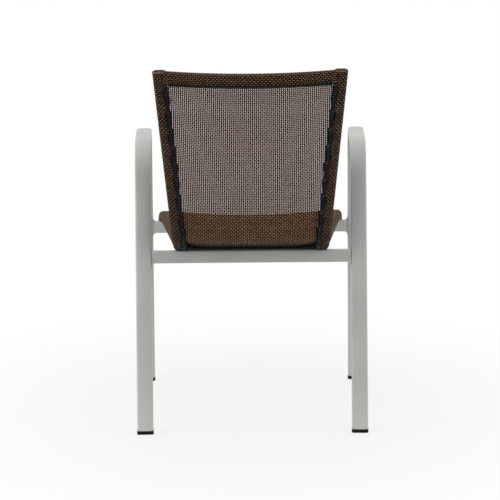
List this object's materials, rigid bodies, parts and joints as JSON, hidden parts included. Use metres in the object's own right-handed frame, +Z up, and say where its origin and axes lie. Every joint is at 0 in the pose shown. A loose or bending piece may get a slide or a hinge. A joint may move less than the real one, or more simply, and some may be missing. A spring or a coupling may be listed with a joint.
{
  "type": "sling patio chair",
  "caption": "Stacking patio armchair with silver flat-tube side frames and a dark woven sling back and seat.",
  "frame": {"origin": "on the floor, under the middle of the bounding box", "axes": "+Z up; the sitter faces -Y, so the back of the chair is towards +Y; +X is at the sitter's left hand"},
  "size_m": [0.5868, 0.6396, 0.8625],
  "materials": {
    "frame_paint": "satin silver-grey",
    "shell_paint": "satin dark brown",
    "sling_cloth": "woven brown and gold",
    "black_plastic": "satin black",
    "zinc_steel": "zinc"
  },
  "bodies": {
    "root": {"left_side_frame": "frame_paint", "rear_left_glide": "black_plastic", "front_left_glide": "black_plastic", "right_side_frame": "frame_paint", "rear_right_glide": "black_plastic", "front_right_glide": "black_plastic", "left_shell_rail": "shell_paint", "left_top_plug": "black_plastic", "left_lip_plug": "black_plastic", "right_shell_rail": "shell_paint", "right_top_plug": "black_plastic", "right_lip_plug": "black_plastic", "top_rail": "shell_paint", "lumbar_rail": "shell_paint", "front_rail": "shell_paint", "back_sling": "sling_cloth", "seat_sling": "sling_cloth", "left_back_strip": "black_plastic", "left_seat_strip": "black_plastic", "left_lip_strip": "black_plastic", "right_back_strip": "black_plastic", "right_seat_strip": "black_plastic", "right_lip_strip": "black_plastic", "top_strip": "black_plastic", "rear_crossbar": "frame_paint", "front_crossbar": "frame_paint", "rear_left_bolt": "zinc_steel", "rear_left_washer": "zinc_steel", "rear_left_nut": "zinc_steel", "rear_right_bolt": "zinc_steel", "rear_right_washer": "zinc_steel", "rear_right_nut": "zinc_steel", "front_left_bolt": "zinc_steel", "front_left_washer": "zinc_steel", "front_left_nut": "zinc_steel", "front_right_bolt": "zinc_steel", "front_right_washer": "zinc_steel", "front_right_nut": "zinc_steel"}
  },
  "joints": []
}
